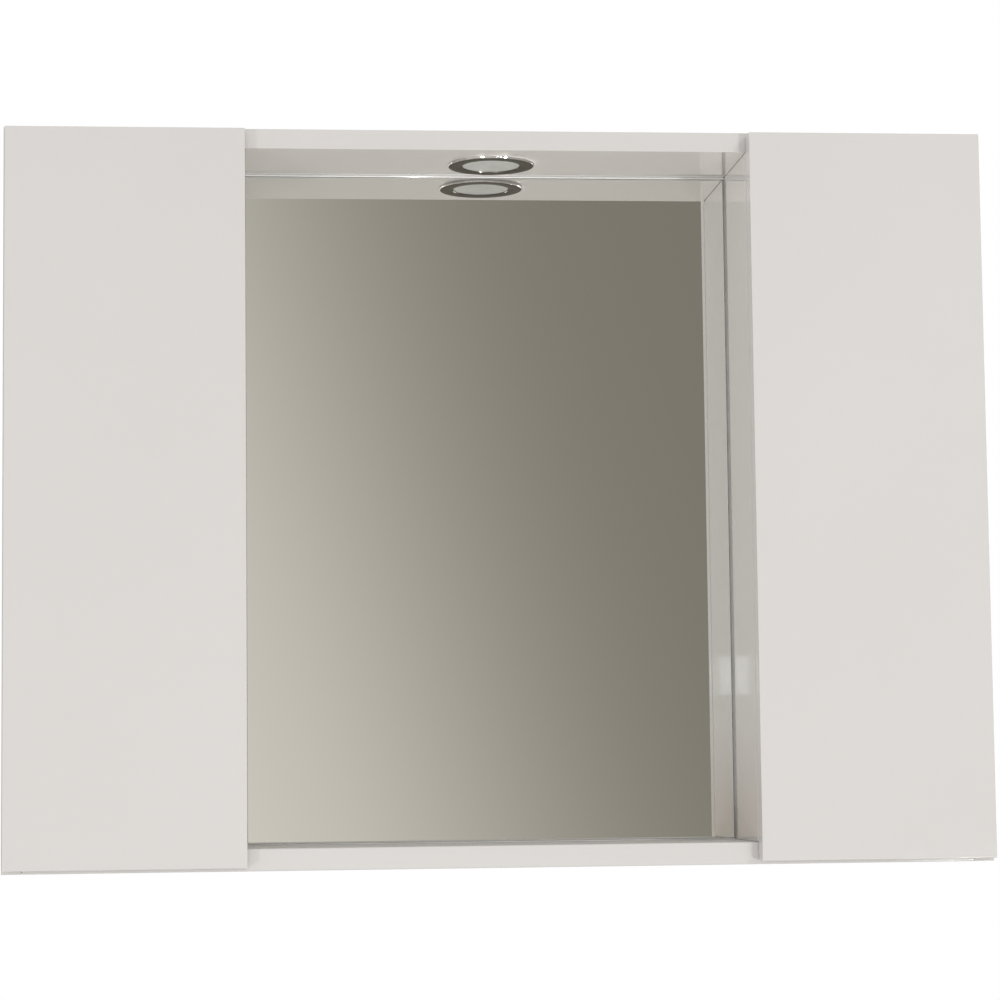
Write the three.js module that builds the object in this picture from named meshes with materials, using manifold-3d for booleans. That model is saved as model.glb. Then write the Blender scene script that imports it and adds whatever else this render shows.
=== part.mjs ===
// Wall-hung bathroom cabinet: two gloss doors either side of an open recess with a mirror at its
// back and a spotlight in its ceiling. Millimetres. X runs across the cabinet, Y runs into the wall
// and Z is up. The origin is the centre of the back, on the wall plane.
import * as THREE from 'three';
import { mergeVertices } from 'three/addons/utils/BufferGeometryUtils.js';
import Module from 'manifold-3d';

const wasm = await Module();
wasm.setup();

// Driving dimensions of the case.
const width = 800;
const height = 600;
const board = 16;
const floorBoard = 18;
const backThickness = 3;
const panelDepth = 129;
const doorGap = 2;
const doorWidth = 192;
const doorReveal = 2;
const doorEndReveal = 3;
const mirrorSetback = 106;
const glassThickness = 4;
const tapeThickness = 1.5;
const mirrorGap = { side: 1, top: 2, bottom: 1 };
const tapeStrip = { innerX: 120, outerX: 139, half: 250 };

// Spotlight, lamp driver and the lead between them.
const lampSetback = 56;
const lampHoleRadius = 31;
const ringRadius = 36.5;
const ringProud = 2.2;
const collarRadius = 28.6;
const collarHeight = 6;
const lensRadius = 26;
const lensWindowRadius = 24.2;
const ledge = { top: -0.7, seat: -0.4 };
const lensTop = 1.8;
const ledBoard = { radius: 25, low: 9, high: 10.6 };
const housing = { low: 6.3, high: 13.6, wall: 1.2 };
const clipHalfWidth = 4;
const leadRadius = 1.5;
const leadBend = 8;
const leadHoleX = 236;
const leadHoleRadius = 6;
const grooveWidth = 6;
const grooveDepth = 5.5;
const driverSize = { x: 110, y: 42, z: 24 };
const driverStartX = 256;

// Shelves, latches and other fittings.
const shelfHeights = [-95, 95];
const shelfGap = 0.5;
const shelfSetback = 17;
const latchX = 229;
const plungerRadius = 3.5;
const plungerLength = 40;
const strikeRadius = 7.5;
const strikeThickness = 1;
const bumperRadius = 4;
const bumperThickness = 1.7;
const bumperZ = 280;
const hanger = { thickness: 2, innerX: 340, outerX: 396, lowZ: 240, highZ: 296 };
const keyhole = { x: 362, headZ: 258, neckZ: 270, headRadius: 5, neckRadius: 2.75 };
const supplyHole = { x: 303, z: 236, radius: 8 };
const backInset = 2;
const backNotch = { x: 338, z: 238 };
const latchBody = { width: 14, start: 1, end: 56, half: 9, boreEnd: 50 };
const latchFoot = { width: 2, start: 12, end: 46, half: 18 };

// Concealed hinge, as seen in plan: u runs from the case's outer side towards the cabinet's centre,
// and v from the front edges of the case into the cabinet.
const hingeHeights = [-200, 200];
const cupCentre = doorReveal + 21.5;
const cupBoreRadius = 17.5;
const cupBoreDepth = 12.4;
const cupOuterRadius = 17.2;
const cupInnerRadius = 16;
const cupDepth = 12;
const cupFloor = 0.8;
const cupFlange = 1;
const pinRadius = 1.2;
const eyeRadius = 2.4;
const eyeHoleRadius = 1.5;
const outerArmPivot = { u: 36, v: 2.8 };
const outerDoorPivot = { u: 13.25, v: -4.5 };
const innerArmPivot = { u: 32.4, v: 1.4 };
const innerDoorPivot = { u: 11.35, v: -9.35 };
const innerSlot = { u: 32.15, v: 1.83, half: 1.7 };
const armCheek = { inner: 8, outer: 9.4 };
const outerLinkCheek = { inner: 5.5, outer: 7.2 };
const outerBulge = 8;
const innerBulge = 6;
const innerLinkHalf = 4.5;
const innerLinkSkin = 1.6;

// Clearance between pieces that move past each other, or that one piece is cut to fit round another.
const clearance = 0.3;

// How far a cutting tool runs past the faces that it opens.
const beyond = 5;

// Planes and faces that follow from those sizes.
const outerX = width / 2;
const sideInnerX = outerX - board;
const recessX = outerX - doorReveal - doorWidth;
const dividerX = recessX + board;
const topZ = height / 2;
const ceilingZ = topZ - board;
const floorZ = floorBoard - topZ;
const panelBackY = -backThickness;
const frontY = panelBackY - panelDepth;
const doorBackY = frontY - doorGap;
const doorFrontY = doorBackY - board;
const mirrorFrontY = frontY + mirrorSetback;
const mirrorBackY = mirrorFrontY + glassThickness;
const mirrorBoardY = mirrorBackY + tapeThickness;
const lampY = frontY + lampSetback;

const finish = {
  gloss: new THREE.MeshStandardMaterial({ color: 0xe4e1de, roughness: 0.12, metalness: 0 }),
  fibreboard: new THREE.MeshStandardMaterial({ color: 0xded9d0, roughness: 0.7, metalness: 0 }),
  mirror: new THREE.MeshStandardMaterial({ color: 0xb9b7b0, roughness: 0.02, metalness: 1 }),
  tape: new THREE.MeshStandardMaterial({ color: 0xf2f2ee, roughness: 0.9, metalness: 0 }),
  nickel: new THREE.MeshStandardMaterial({ color: 0xb4b2ac, roughness: 0.3, metalness: 1 }),
  chrome: new THREE.MeshStandardMaterial({ color: 0x8c8a88, roughness: 0.18, metalness: 1 }),
  frosted: new THREE.MeshStandardMaterial({ color: 0xc4c5c1, roughness: 0.55, metalness: 0 }),
  aluminium: new THREE.MeshStandardMaterial({ color: 0xa9abad, roughness: 0.4, metalness: 1 }),
  lampBoard: new THREE.MeshStandardMaterial({ color: 0xf4f4f2, roughness: 0.5, metalness: 0 }),
  whitePlastic: new THREE.MeshStandardMaterial({ color: 0xeceae6, roughness: 0.4, metalness: 0 }),
  greyPlastic: new THREE.MeshStandardMaterial({ color: 0x8d8f92, roughness: 0.5, metalness: 0 }),
  clearRubber: new THREE.MeshStandardMaterial({ color: 0xd9dcd8, roughness: 0.35, metalness: 0 }),
  blackRubber: new THREE.MeshStandardMaterial({ color: 0x1f1f20, roughness: 0.8, metalness: 0 }),
};

const cabinet = new THREE.Group();

// --- geometry helpers -----------------------------------------------------------------------

function addPart(name, geometry, material) {
  const mesh = new THREE.Mesh(geometry, material);
  mesh.name = name;
  cabinet.add(mesh);
}

// A box between two corners, given in any order.
function block(cornerA, cornerB) {
  const size = cornerA.map((value, i) => Math.abs(cornerB[i] - value));
  const centre = cornerA.map((value, i) => (cornerB[i] + value) / 2);
  return new THREE.BoxGeometry(...size).translate(...centre);
}

// A round bar along 'y' or 'z' between two places on that axis; at gives the other two places.
function roundBar(axis, radius, from, to, at, sides = 24) {
  const bar = new THREE.CylinderGeometry(radius, radius, Math.abs(to - from), sides);
  const middle = (from + to) / 2;
  if (axis === 'z') return bar.rotateX(Math.PI / 2).translate(at[0], at[1], middle);
  return bar.translate(at[0], middle, at[1]);
}

// A flat outline in X and Y raised along Z between two heights.
function raise(shape, fromZ, toZ) {
  const settings = { depth: toZ - fromZ, bevelEnabled: false };
  return new THREE.ExtrudeGeometry(shape, settings).translate(0, 0, fromZ);
}

function outline(points) {
  return new THREE.Shape(points.map(([x, y]) => new THREE.Vector2(x, y)));
}

function toSolid(geometry) {
  const bare = geometry.clone();
  bare.deleteAttribute('normal');
  bare.deleteAttribute('uv');
  const merged = mergeVertices(bare, 1e-4);
  const vertProperties = new Float32Array(merged.attributes.position.array);
  const triVerts = new Uint32Array(merged.index.array);
  return new wasm.Manifold(new wasm.Mesh({ numProp: 3, vertProperties, triVerts }));
}

function toGeometry(solid) {
  const mesh = solid.getMesh();
  const geometry = new THREE.BufferGeometry();
  geometry.setAttribute('position', new THREE.BufferAttribute(new Float32Array(mesh.vertProperties), 3));
  geometry.setIndex(new THREE.BufferAttribute(new Uint32Array(mesh.triVerts), 1));
  geometry.computeVertexNormals();
  return geometry;
}

function join(geometries) {
  return toGeometry(geometries.map(toSolid).reduce((whole, piece) => whole.add(piece)));
}

function cut(geometry, tools) {
  return toGeometry(tools.map(toSolid).reduce((whole, tool) => whole.subtract(tool), toSolid(geometry)));
}

const sides = [
  { name: 'left', sign: -1 },
  { name: 'right', sign: 1 },
];

// --- case -----------------------------------------------------------------------------------

function buildSidePanels() {
  for (const { name, sign } of sides) {
    const low = [sign * sideInnerX, frontY, -topZ];
    const high = [sign * outerX, panelBackY, topZ];
    addPart(`side_panel_${name}`, block(low, high), finish.gloss);
  }
}

function buildDividers() {
  for (const { name, sign } of sides) {
    const low = [sign * recessX, frontY, floorZ];
    const high = [sign * dividerX, panelBackY, ceilingZ];
    addPart(`divider_${name}`, block(low, high), finish.gloss);
  }
}

function buildTopPanel() {
  const panel = block([-sideInnerX, frontY, ceilingZ], [sideInnerX, panelBackY, topZ]);
  const [low, high] = [ceilingZ - beyond, topZ + beyond];
  const lampHole = roundBar('z', lampHoleRadius, low, high, [0, lampY], 48);
  const leadHole = roundBar('z', leadHoleRadius, low, high, [leadHoleX, lampY], 16);
  const groove = block(
    [0, lampY - grooveWidth / 2, topZ - grooveDepth],
    [leadHoleX, lampY + grooveWidth / 2, high],
  );
  addPart('top_panel', cut(panel, [lampHole, leadHole, groove]), finish.gloss);
}

function buildBottomPanel() {
  const panel = block([-sideInnerX, frontY, -topZ], [sideInnerX, panelBackY, floorZ]);
  addPart('bottom_panel', panel, finish.gloss);
}

// The back is nailed over the case. Its two top corners are notched round the hanger plates.
function buildBackPanel() {
  const x = outerX - backInset;
  const z = topZ - backInset;
  const panel = block([-x, panelBackY, -z], [x, 0, z]);
  const notches = sides.map(({ sign }) => block(
    [sign * backNotch.x, -beyond, backNotch.z],
    [sign * (outerX + beyond), beyond, topZ + beyond],
  ));
  const hole = roundBar('y', supplyHole.radius, -beyond, beyond, [supplyHole.x, supplyHole.z]);
  addPart('back_panel', cut(panel, [...notches, hole]), finish.fibreboard);
}

// Keyhole plates screwed to the back edges of the side and top panels.
function buildHangers() {
  for (const { name, sign } of sides) {
    const low = [sign * hanger.innerX, panelBackY, hanger.lowZ];
    const high = [sign * hanger.outerX, panelBackY + hanger.thickness, hanger.highZ];
    const x = sign * keyhole.x;
    const [front, rear] = [panelBackY - beyond, beyond];
    const headHole = roundBar('y', keyhole.headRadius, front, rear, [x, keyhole.headZ]);
    const neckEnd = roundBar('y', keyhole.neckRadius, front, rear, [x, keyhole.neckZ]);
    const neck = block(
      [x - keyhole.neckRadius, front, keyhole.headZ],
      [x + keyhole.neckRadius, rear, keyhole.neckZ],
    );
    addPart(`hanger_${name}`, cut(block(low, high), [headHole, neckEnd, neck]), finish.nickel);
  }
}

function buildShelves() {
  const levels = [['lower', shelfHeights[0]], ['upper', shelfHeights[1]]];
  for (const { name, sign } of sides) {
    for (const [level, z] of levels) {
      const low = [sign * (dividerX + shelfGap), frontY + shelfSetback, z - board / 2];
      const high = [sign * (sideInnerX - shelfGap), panelBackY - shelfGap, z + board / 2];
      addPart(`shelf_${name}_${level}`, block(low, high), finish.gloss);
    }
  }
}

// --- mirror ---------------------------------------------------------------------------------

function buildMirror() {
  const glassX = recessX - mirrorGap.side;
  const backing = block([-recessX, mirrorBoardY, floorZ], [recessX, mirrorBoardY + board, ceilingZ]);
  const glass = block(
    [-glassX, mirrorFrontY, floorZ + mirrorGap.bottom],
    [glassX, mirrorBackY, ceilingZ - mirrorGap.top],
  );
  addPart('mirror_backing_board', backing, finish.fibreboard);
  addPart('mirror', glass, finish.mirror);
  for (const { name, sign } of sides) {
    const low = [sign * tapeStrip.innerX, mirrorBackY, -tapeStrip.half];
    const high = [sign * tapeStrip.outerX, mirrorBoardY, tapeStrip.half];
    addPart(`mirror_tape_${name}`, block(low, high), finish.tape);
  }
}

// --- spotlight ------------------------------------------------------------------------------

// A turned piece about the spotlight's axis; heights are measured up from the recess ceiling.
function lampTurning(profile, segments = 48) {
  const points = profile.map(([radius, rise]) => new THREE.Vector2(radius, rise));
  const turned = new THREE.LatheGeometry([...points, points[0].clone()], segments);
  return turned.rotateX(Math.PI / 2).translate(0, lampY, ceilingZ);
}

// The ring is flat underneath, with a rounded rim, and its inner ledge carries the glass.
function buildTrimRing() {
  const bore = lensRadius + clearance;
  const face = -ringProud;
  const ring = [
    [collarRadius, collarHeight], [bore, collarHeight], [bore, ledge.top], [lensWindowRadius, ledge.top],
    [lensWindowRadius, face + 0.3], [lensWindowRadius + 0.3, face], [ringRadius - 1.2, face],
    [ringRadius - 0.6, face + 0.16], [ringRadius - 0.16, face + 0.6], [ringRadius, face + 1.2],
    [ringRadius, 0], [collarRadius, 0],
  ];
  addPart('spot_trim_ring', lampTurning(ring), finish.chrome);
}

// The glass is stepped, so that its face is almost flush with the face of the ring.
function buildSpotGlass() {
  const inWindow = lensWindowRadius - clearance;
  const face = clearance - ringProud;
  const glass = [
    [0, face], [inWindow, face], [inWindow, ledge.seat], [lensRadius, ledge.seat],
    [lensRadius, lensTop], [0, lensTop],
  ];
  addPart('spot_glass', lampTurning(glass), finish.frosted);
}

function buildLamp() {
  const { radius, low, high } = ledBoard;
  const disc = roundBar('z', radius, ceilingZ + low, ceilingZ + high, [0, lampY], 32);
  addPart('spot_led_board', disc, finish.lampBoard);
  const inner = collarRadius - housing.wall;
  const can = [
    [0, housing.high - housing.wall], [inner, housing.high - housing.wall], [inner, housing.low],
    [collarRadius, housing.low], [collarRadius, housing.high], [0, housing.high],
  ];
  addPart('spot_housing', lampTurning(can, 40), finish.aluminium);
}

// Two bent leaf springs that grip the wall of the lamp's hole from the collar.
function buildSpringClips() {
  const inner = collarRadius + clearance;
  const bulge = lampHoleRadius - clearance;
  const leaf = 0.4;
  const [start, middle, end] = [1, 3.2, 5.4];
  for (const [name, direction] of [['front', -1], ['rear', 1]]) {
    const profile = [
      [inner, start], [inner + leaf, start], [bulge, middle],
      [inner + leaf, end], [inner, end], [bulge - leaf, middle],
    ];
    const shape = outline(profile.map(([reach, rise]) => [direction * reach, rise]));
    const clip = raise(shape, -clipHalfWidth, clipHalfWidth).rotateY(Math.PI / 2).rotateX(Math.PI / 2);
    addPart(`spot_clip_${name}`, clip.translate(0, lampY, ceilingZ), finish.nickel);
  }
}

// The lead lies in the groove, turns down through the top panel and turns again into the driver.
function buildLampLead() {
  const start = new THREE.Vector3(collarRadius + clearance, lampY, topZ - grooveDepth / 2);
  const overHole = new THREE.Vector3(leadHoleX, lampY, start.z);
  const atDriver = new THREE.Vector3(leadHoleX, lampY, ceilingZ - driverSize.z / 2);
  const end = new THREE.Vector3(driverStartX - clearance, lampY, atDriver.z);
  const route = new THREE.CurvePath();
  const beforeBend = overHole.clone().setX(leadHoleX - leadBend);
  const afterBend = overHole.clone().setZ(start.z - leadBend);
  const beforeTurn = atDriver.clone().setZ(atDriver.z + leadBend);
  const afterTurn = atDriver.clone().setX(leadHoleX + leadBend);
  route.add(new THREE.LineCurve3(start, beforeBend));
  route.add(new THREE.QuadraticBezierCurve3(beforeBend, overHole, afterBend));
  route.add(new THREE.LineCurve3(afterBend, beforeTurn));
  route.add(new THREE.QuadraticBezierCurve3(beforeTurn, atDriver, afterTurn));
  route.add(new THREE.LineCurve3(afterTurn, end));
  const section = new THREE.Shape().absarc(0, 0, leadRadius, 0, 2 * Math.PI);
  const settings = { steps: 36, curveSegments: 3, extrudePath: route, bevelEnabled: false };
  addPart('lamp_lead', new THREE.ExtrudeGeometry(section, settings), finish.whitePlastic);
}

function buildDriver() {
  const low = [driverStartX, lampY - driverSize.y / 2, ceilingZ - driverSize.z];
  const high = [driverStartX + driverSize.x, lampY + driverSize.y / 2, ceilingZ];
  addPart('lamp_driver', block(low, high), finish.whitePlastic);
}

function buildGrommet() {
  const inner = supplyHole.radius / 2;
  const neck = supplyHole.radius - clearance;
  const rim = supplyHole.radius + 3;
  const profile = [[inner, -1.8], [rim, -1.8], [rim, 0], [neck, 0], [neck, 2.8], [inner, 2.8]];
  const points = profile.map(([radius, rise]) => new THREE.Vector2(radius, rise));
  const turned = new THREE.LatheGeometry([...points, points[0].clone()], 24);
  addPart('supply_grommet', turned.translate(supplyHole.x, panelBackY, supplyHole.z), finish.blackRubber);
}

// --- hinges ---------------------------------------------------------------------------------

// Plan places of a hinge to the cabinet's X and Y, for the left or the right door.
function planX(sign, u) {
  return sign * (outerX - u);
}

function planPoint(sign, { u, v }) {
  return [planX(sign, u), frontY + v];
}

function hingePin(sign, pivot, fromZ, toZ, radius = pinRadius) {
  return roundBar('z', radius, fromZ, toZ, planPoint(sign, pivot), 16);
}

// The curved centre line of a link, from its arm end (t = 0) to its door end (t = 1).
function linkPoint(from, to, bulge, t) {
  const du = to.u - from.u;
  const dv = to.v - from.v;
  const length = Math.hypot(du, dv);
  const offset = bulge * 4 * t * (1 - t);
  return { u: from.u + du * t - (dv / length) * offset, v: from.v + dv * t + (du / length) * offset };
}

// A band that follows a link's centre line between two offsets from it.
function linkBand(sign, from, to, bulge, offsets, span) {
  const steps = 12;
  const rails = [[], []];
  for (let i = 0; i <= steps; i += 1) {
    const t = span[0] + ((span[1] - span[0]) * i) / steps;
    const here = linkPoint(from, to, bulge, t);
    const ahead = linkPoint(from, to, bulge, t + 0.01);
    const length = Math.hypot(ahead.u - here.u, ahead.v - here.v);
    const normal = { u: -(ahead.v - here.v) / length, v: (ahead.u - here.u) / length };
    offsets.forEach((offset, k) => {
      const place = { u: here.u + normal.u * offset, v: here.v + normal.v * offset };
      rails[k].push(planPoint(sign, place));
    });
  }
  return outline([...rails[0], ...rails[1].reverse()]);
}

// The outer link is a pressed channel: two cheeks and, near the arm, the web that joins them.
function buildOuterLink(name, sign, z) {
  const band = linkBand(sign, outerArmPivot, outerDoorPivot, outerBulge, [-1.2, 2], [0, 1]);
  const web = linkBand(sign, outerArmPivot, outerDoorPivot, outerBulge, [1, 2.2], [0.14, 0.34]);
  const pieces = [raise(web, z - outerLinkCheek.outer, z + outerLinkCheek.outer)];
  const holes = [];
  for (const direction of [-1, 1]) {
    const from = Math.min(direction * outerLinkCheek.inner, direction * outerLinkCheek.outer);
    const to = Math.max(direction * outerLinkCheek.inner, direction * outerLinkCheek.outer);
    pieces.push(raise(band, z + from, z + to));
    for (const pivot of [outerArmPivot, outerDoorPivot]) {
      pieces.push(hingePin(sign, pivot, z + from, z + to, eyeRadius));
      holes.push(hingePin(sign, pivot, z + from - 1, z + to + 1, eyeHoleRadius));
    }
  }
  addPart(name, cut(join(pieces), holes), finish.nickel);
}

// The inner link runs between the outer link's cheeks. Its arm end is slotted round its pin.
function buildInnerLink(name, sign, z) {
  const low = z - innerLinkHalf;
  const high = z + innerLinkHalf;
  const slotEnds = [-1, 1].map((end) => ({ u: innerSlot.u + end * innerSlot.half, v: innerSlot.v }));
  const slotHalf = pinRadius + 0.75;
  const rim = 0.9;
  const band = linkBand(sign, innerSlot, innerDoorPivot, innerBulge, [-innerLinkSkin, innerLinkSkin], [0, 1]);
  const slotBlock = (half, from, to) => block(
    [...planPoint(sign, { u: slotEnds[0].u, v: innerSlot.v - half }), from],
    [...planPoint(sign, { u: slotEnds[1].u, v: innerSlot.v + half }), to],
  );
  const pieces = [raise(band, low, high), slotBlock(slotHalf + rim, low, high)];
  const holes = [slotBlock(slotHalf, low - 1, high + 1)];
  for (const end of slotEnds) {
    pieces.push(hingePin(sign, end, low, high, slotHalf + rim));
    holes.push(hingePin(sign, end, low - 1, high + 1, slotHalf));
  }
  pieces.push(hingePin(sign, innerDoorPivot, low, high, eyeRadius));
  holes.push(hingePin(sign, innerDoorPivot, low - 1, high + 1, eyeHoleRadius));
  addPart(name, cut(join(pieces), holes), finish.nickel);
}

// The arm is a channel: its two cheeks reach forward to hold the pins of both links.
function buildHingeArm(name, sign, z) {
  const cheek = outline([
    { u: 18.4, v: 54 }, { u: 18.4, v: 8 }, { u: 20, v: 3 }, { u: 29, v: -1.6 }, { u: 33, v: -1.9 },
    { u: 38.6, v: 0.8 }, { u: 38.9, v: 4.4 }, { u: 36.5, v: 12 }, { u: 31, v: 24 }, { u: 31, v: 54 },
  ].map((place) => planPoint(sign, place)));
  const web = block(
    [...planPoint(sign, { u: 29.6, v: 24 }), z - armCheek.outer],
    [...planPoint(sign, { u: 31, v: 54 }), z + armCheek.outer],
  );
  const nose = outline([
    { u: 31, v: 24 }, { u: 36.5, v: 12 }, { u: 35.2, v: 11.4 },
    { u: 29.6, v: 23.7 }, { u: 29.6, v: 25 }, { u: 31, v: 25 },
  ].map((place) => planPoint(sign, place)));
  const pieces = [web, raise(nose, z - armCheek.outer, z + armCheek.outer)];
  for (const direction of [-1, 1]) {
    const from = Math.min(direction * armCheek.inner, direction * armCheek.outer);
    const to = Math.max(direction * armCheek.inner, direction * armCheek.outer);
    const stubEnd = direction * (outerLinkCheek.inner - 0.2);
    pieces.push(raise(cheek, z + from, z + to));
    pieces.push(hingePin(sign, outerArmPivot, z + stubEnd, z + direction * armCheek.outer));
  }
  pieces.push(hingePin(sign, innerArmPivot, z - armCheek.outer, z + armCheek.outer));
  addPart(name, join(pieces), finish.nickel);
}

// The mounting plate is a cross screwed to the side panel, with a rail that the arm clips over.
function buildMountingPlate(name, sign, z) {
  const at = (u, v) => planPoint(sign, { u, v });
  const base = block([...at(16, 26), z - 8], [...at(18, 60), z + 8]);
  const wings = block([...at(16, 32), z - 25], [...at(18, 42), z + 25]);
  const rail = block([...at(18, 28), z - 7.4], [...at(23, 56), z + 7.4]);
  addPart(name, join([base, wings, rail]), finish.nickel);
}

// The cup is pressed into the door's bore. A pin and two stubs in it carry the links.
function buildHingeCup(name, sign, z) {
  const centre = [planX(sign, cupCentre), z];
  const shell = roundBar('y', cupOuterRadius, doorBackY - cupDepth, doorBackY + cupFlange, centre, 40);
  const floorY = doorBackY - cupDepth + cupFloor;
  const hollow = roundBar('y', cupInnerRadius, floorY, doorBackY + cupFlange + 1, centre, 40);
  const flange = block(
    [planX(sign, cupCentre - 17), doorBackY, z - 26],
    [planX(sign, cupCentre + 12), doorBackY + cupFlange, z + 26],
  );
  const innerPinHalf = 10.9;
  const outerPinHalf = 11.3;
  const pins = [hingePin(sign, innerDoorPivot, z - innerPinHalf, z + innerPinHalf)];
  for (const direction of [-1, 1]) {
    const stubEnd = direction * (outerLinkCheek.inner - 0.2);
    pins.push(hingePin(sign, outerDoorPivot, z + stubEnd, z + direction * outerPinHalf));
  }
  const cup = cut(join([shell, flange]), [hollow]);
  addPart(name, join([cup, ...pins]), finish.nickel);
}

function buildHinges() {
  for (const { name, sign } of sides) {
    for (const z of hingeHeights) {
      const place = `${name}_${z < 0 ? 'lower' : 'upper'}`;
      buildMountingPlate(`hinge_plate_${place}`, sign, z);
      buildHingeArm(`hinge_arm_${place}`, sign, z);
      buildHingeCup(`hinge_cup_${place}`, sign, z);
      buildOuterLink(`hinge_outer_link_${place}`, sign, z);
      buildInnerLink(`hinge_inner_link_${place}`, sign, z);
    }
  }
}

// --- doors and latches ----------------------------------------------------------------------

function buildDoors() {
  for (const { name, sign } of sides) {
    const low = [sign * recessX, doorFrontY, -topZ + doorEndReveal];
    const high = [sign * (outerX - doorReveal), doorBackY, topZ - doorEndReveal];
    const bores = hingeHeights.map((z) => {
      const centre = [planX(sign, cupCentre), z];
      return roundBar('y', cupBoreRadius, doorBackY - cupBoreDepth, doorBackY + 5, centre, 40);
    });
    addPart(`door_${name}`, cut(block(low, high), bores), finish.gloss);
  }
}

// Push-to-open latch: the door, pressed in and let go, is pushed off by the plunger.
function buildLatches() {
  const tipY = doorBackY + strikeThickness + clearance;
  for (const { name, sign } of sides) {
    const [body, foot] = [latchBody, latchFoot].map(({ width: reach, start, end, half }) => block(
      [sign * dividerX, frontY + start, -half],
      [sign * (dividerX + reach), frontY + end, half],
    ));
    const boreEnd = frontY + latchBody.boreEnd;
    const bore = roundBar('y', plungerRadius + clearance, frontY - beyond, boreEnd, [sign * latchX, 0]);
    addPart(`latch_housing_${name}`, cut(join([body, foot]), [bore]), finish.greyPlastic);
    const plunger = roundBar('y', plungerRadius, tipY, tipY + plungerLength, [sign * latchX, 0], 20);
    addPart(`latch_plunger_${name}`, plunger, finish.whitePlastic);
    const strikeFaceY = doorBackY + strikeThickness;
    const strike = roundBar('y', strikeRadius, doorBackY, strikeFaceY, [sign * latchX, 0], 28);
    addPart(`strike_plate_${name}`, strike, finish.nickel);
  }
}

function buildBumpers() {
  const bumperX = (recessX + dividerX) / 2;
  for (const { name, sign } of sides) {
    for (const [level, z] of [['lower', -bumperZ], ['upper', bumperZ]]) {
      const place = [sign * bumperX, z];
      const bumper = roundBar('y', bumperRadius, doorBackY, doorBackY + bumperThickness, place, 20);
      addPart(`bumper_${name}_${level}`, bumper, finish.clearRubber);
    }
  }
}

buildSidePanels();
buildDividers();
buildTopPanel();
buildBottomPanel();
buildBackPanel();
buildHangers();
buildShelves();
buildMirror();
buildTrimRing();
buildSpotGlass();
buildLamp();
buildSpringClips();
buildLampLead();
buildDriver();
buildGrommet();
buildHinges();
buildDoors();
buildLatches();
buildBumpers();

export default cabinet;
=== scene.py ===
"""Looks of a wall-hung bathroom cabinet: gloss doors, a mirror recess and the spotlight above it."""

import math

import bmesh
import bpy
from mathutils import Matrix, Vector


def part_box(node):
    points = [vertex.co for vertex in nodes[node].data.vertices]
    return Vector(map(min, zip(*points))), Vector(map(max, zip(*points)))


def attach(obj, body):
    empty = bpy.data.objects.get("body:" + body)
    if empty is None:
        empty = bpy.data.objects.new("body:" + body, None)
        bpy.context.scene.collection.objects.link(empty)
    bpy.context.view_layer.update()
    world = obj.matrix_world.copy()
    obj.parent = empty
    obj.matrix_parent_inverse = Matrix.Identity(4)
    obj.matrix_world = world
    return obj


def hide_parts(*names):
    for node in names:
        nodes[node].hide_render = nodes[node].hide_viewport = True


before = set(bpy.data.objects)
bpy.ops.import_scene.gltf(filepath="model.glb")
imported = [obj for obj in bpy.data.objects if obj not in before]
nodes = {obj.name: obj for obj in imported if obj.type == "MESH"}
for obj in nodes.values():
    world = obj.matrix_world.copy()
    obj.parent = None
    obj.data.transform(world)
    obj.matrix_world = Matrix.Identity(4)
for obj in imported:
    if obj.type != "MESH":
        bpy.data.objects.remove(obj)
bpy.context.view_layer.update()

MM = 0.001
SIDES = (("left", -1), ("right", 1))
LEVELS = ("lower", "upper")
TOUCH = 0.01 * MM
BOARD_EASE = 0.5 * MM
FACING = 0.9             # a normal's share along an axis from which a face counts as facing that way

# Colours that more than one finish shares, darker and lighter.
LACQUER_WHITE = ((0.785, 0.765, 0.745), (0.80, 0.782, 0.762))
SEAL_WHITE = ((0.86, 0.855, 0.84), (0.92, 0.915, 0.90))

# Places read from the frame, in metres.
CASE_LOW, CASE_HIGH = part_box("side_panel_left")[0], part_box("side_panel_right")[1]
CASE_FRONT = CASE_LOW.y
CASE_BACK = CASE_HIGH.y
SIDE_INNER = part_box("side_panel_right")[0].x
DIVIDER_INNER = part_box("divider_right")[1].x
RECESS_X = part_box("divider_right")[0].x
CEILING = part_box("top_panel")[0].z
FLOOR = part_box("bottom_panel")[1].z
LAMP_LOW, LAMP_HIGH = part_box("spot_trim_ring")
LAMP_X = (LAMP_LOW.x + LAMP_HIGH.x) / 2
LAMP_Y = (LAMP_LOW.y + LAMP_HIGH.y) / 2
LENS_FACE = 23.9 * MM    # radius of the glass seen inside the ring


# --- material patterns ----------------------------------------------------------------------

def new_finish(name, **sockets):
    """A Principled material; a socket's name is written with _ for each space."""
    material = bpy.data.materials.new(name)
    material.use_nodes = True
    shader = material.node_tree.nodes["Principled BSDF"]
    for socket, value in sockets.items():
        shader.inputs[socket.replace("_", " ")].default_value = value
    return material


def shader_of(material):
    return material.node_tree.nodes["Principled BSDF"]


def add_node(material, kind, **inputs):
    node = material.node_tree.nodes.new(kind)
    for socket, value in inputs.items():
        node.inputs[socket.replace("_", " ")].default_value = value
    return node


def link(material, output, target):
    material.node_tree.links.new(output, target)


def speckle(material, scale, detail=2.0, stretch=(1.0, 1.0, 1.0)):
    """A noise pattern in object space, with scale in cells per metre."""
    place = add_node(material, "ShaderNodeTexCoord")
    mapping = add_node(material, "ShaderNodeMapping", Scale=stretch)
    noise = add_node(material, "ShaderNodeTexNoise", Scale=scale, Detail=detail)
    link(material, place.outputs["Object"], mapping.inputs["Vector"])
    link(material, mapping.outputs["Vector"], noise.inputs["Vector"])
    return noise.outputs["Fac"]


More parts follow.
